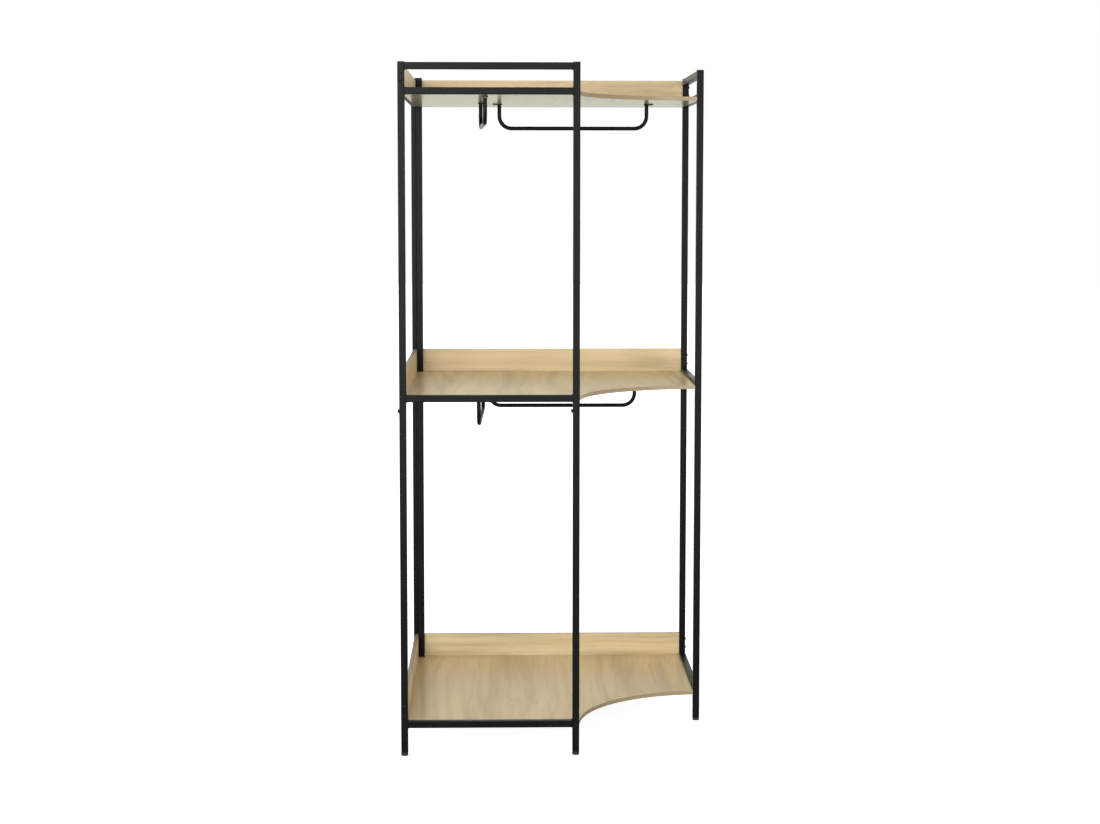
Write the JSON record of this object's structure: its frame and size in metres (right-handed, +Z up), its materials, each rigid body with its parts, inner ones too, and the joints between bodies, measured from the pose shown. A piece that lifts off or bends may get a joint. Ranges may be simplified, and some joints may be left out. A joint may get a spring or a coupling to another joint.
{
  "type": "corner closet unit",
  "caption": "Open corner closet: black square-tube frame, oak-look shelves with a concave front, low edge boards along the walls, bent hanging rods and levelling feet.",
  "frame": {"origin": "middle of the whole footprint, bolt heads included, on the floor", "axes": "+Z up; +X right along the back wall; +Y to the back wall, so the corner post stands at -X, +Y and the open corner faces +X, -Y"},
  "size_m": [0.9076, 0.9076, 1.99],
  "materials": {
    "frame_steel": "satin black powder coat",
    "rod_steel": "satin black powder coat on bent round bar",
    "shelf_board": "light oak laminate on particle board",
    "edge_board": "light oak laminate on particle board",
    "black_plastic": "moulded black plastic",
    "black_screws": "black oxide",
    "zinc_steel": "zinc plate"
  },
  "bodies": {
    "frame": {"back_bottom_panel": "edge_board", "back_lower_rod": "rod_steel", "back_middle_panel": "edge_board", "back_top_panel": "edge_board", "back_upper_rod": "rod_steel", "board_screws": "zinc_steel", "bottom_shelf": "shelf_board", "corner_inner_post_lower": "frame_steel", "corner_inner_post_upper": "frame_steel", "corner_outer_post_lower": "frame_steel", "corner_outer_post_upper": "frame_steel", "corner_tie_plates": "frame_steel", "end_caps": "black_plastic", "foot_inserts": "black_plastic", "front_bottom_bar": "frame_steel", "front_frame_welds": "frame_steel", "front_guard_bar": "frame_steel", "front_left_post_lower": "frame_steel", "front_left_post_upper": "frame_steel", "front_middle_bar": "frame_steel", "front_middle_post_lower": "frame_steel", "front_middle_post_upper": "frame_steel", "front_top_bar": "frame_steel", "joint_bolts": "black_screws", "joint_nuts": "zinc_steel", "joint_sleeves": "zinc_steel", "left_bottom_panel": "edge_board", "left_lower_rod": "rod_steel", "left_middle_panel": "edge_board", "left_top_panel": "edge_board", "left_upper_rod": "rod_steel", "middle_shelf": "shelf_board", "post_screws": "black_screws", "rod_screws": "zinc_steel", "shelf_screws": "black_screws", "side_back_post_lower": "frame_steel", "side_back_post_upper": "frame_steel", "side_bottom_bar": "frame_steel", "side_frame_welds": "frame_steel", "side_front_post_lower": "frame_steel", "side_front_post_upper": "frame_steel", "side_guard_bar": "frame_steel", "side_middle_bar": "frame_steel", "side_top_bar": "frame_steel", "top_shelf": "shelf_board"},
    "front_left_foot": {"front_left_foot_pad": "black_plastic", "front_left_foot_stud": "zinc_steel"},
    "front_middle_foot": {"front_middle_foot_pad": "black_plastic", "front_middle_foot_stud": "zinc_steel"},
    "side_front_foot": {"side_front_foot_pad": "black_plastic", "side_front_foot_stud": "zinc_steel"},
    "side_back_foot": {"side_back_foot_pad": "black_plastic", "side_back_foot_stud": "zinc_steel"},
    "corner_foot": {"corner_foot_pad": "black_plastic", "corner_foot_stud": "zinc_steel"}
  },
  "joints": [
    {"name": "front_left_foot_screw", "type": "slide", "parent": "frame", "child": "front_left_foot", "axis": [0, 0, -1], "range_m": [0, 0.01]},
    {"name": "front_middle_foot_screw", "type": "slide", "parent": "frame", "child": "front_middle_foot", "axis": [0, 0, -1], "range_m": [0, 0.01]},
    {"name": "side_front_foot_screw", "type": "slide", "parent": "frame", "child": "side_front_foot", "axis": [0, 0, -1], "range_m": [0, 0.01]},
    {"name": "side_back_foot_screw", "type": "slide", "parent": "frame", "child": "side_back_foot", "axis": [0, 0, -1], "range_m": [0, 0.01]},
    {"name": "corner_foot_screw", "type": "slide", "parent": "frame", "child": "corner_foot", "axis": [0, 0, -1], "range_m": [0, 0.01]}
  ]
}
